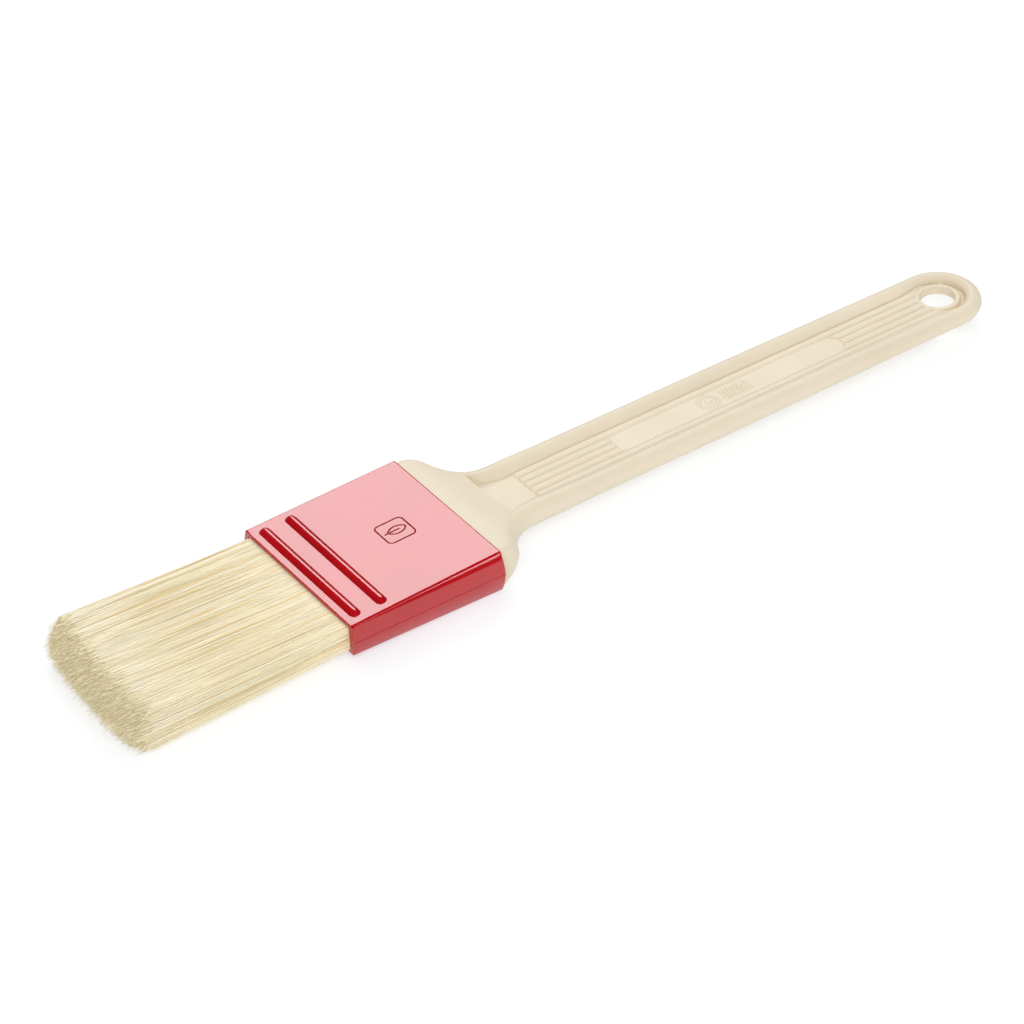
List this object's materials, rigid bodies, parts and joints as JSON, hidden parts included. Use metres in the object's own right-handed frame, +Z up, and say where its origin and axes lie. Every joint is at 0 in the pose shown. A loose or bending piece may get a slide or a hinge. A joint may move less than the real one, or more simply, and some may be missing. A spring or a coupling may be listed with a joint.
{
  "type": "pastry brush",
  "caption": "Flat pastry brush: ribbed moulded handle with a hanging hole, moulded ferrule with grip beads, and pale natural bristles that bend.",
  "frame": {"origin": "centre of the hanging hole, halfway through the handle's thickness", "axes": "+X along the brush from the bristles to the hanging hole, +Y across the brush, +Z up out of the flat face"},
  "size_m": [0.2831, 0.05, 0.0124],
  "materials": {
    "handle_plastic": "satin moulded cream plastic",
    "ferrule_plastic": "glossy moulded red plastic",
    "spacer_wood": "plain sawn strip",
    "setting_resin": "set amber resin",
    "bristle": "pale natural bristle"
  },
  "bodies": {
    "brush_body": {"handle": "handle_plastic", "ferrule": "ferrule_plastic", "spacer_strip": "spacer_wood", "resin_plug": "setting_resin", "upper_bristle_roots": "bristle", "lower_bristle_roots": "bristle"},
    "bristles": {"upper_bristle_tips": "bristle", "lower_bristle_tips": "bristle"}
  },
  "joints": [
    {"name": "bristle_flex", "type": "hinge", "parent": "brush_body", "child": "bristles", "pos_m": [-0.21745, 0, 0], "axis": [0, 1, 0], "range_deg": [-50, 50], "stiffness_Nm_per_rad": 0.15}
  ]
}
